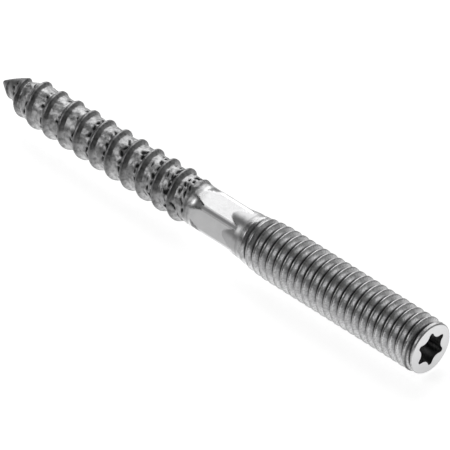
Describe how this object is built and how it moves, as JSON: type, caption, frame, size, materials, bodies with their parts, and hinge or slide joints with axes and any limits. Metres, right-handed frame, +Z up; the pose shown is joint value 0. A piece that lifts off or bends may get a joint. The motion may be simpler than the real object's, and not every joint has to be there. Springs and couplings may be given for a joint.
{
  "type": "hanger bolt",
  "caption": "Headless hanger bolt: coarse wood thread with a gimlet point, pressed hexagon neck, and a metric stud with a lobed drive socket in its flat end.",
  "frame": {"origin": "middle of the bolt's length and width, on the surface that it lies on", "axes": "+X along the bolt, from the gimlet point to the flat drive end; +Z up"},
  "size_m": [0.06, 0.006, 0.006],
  "materials": {
    "stainless_steel": "bare rolled stainless steel, semi-bright"
  },
  "bodies": {
    "root": {"hanger_bolt": "stainless_steel"}
  },
  "joints": []
}
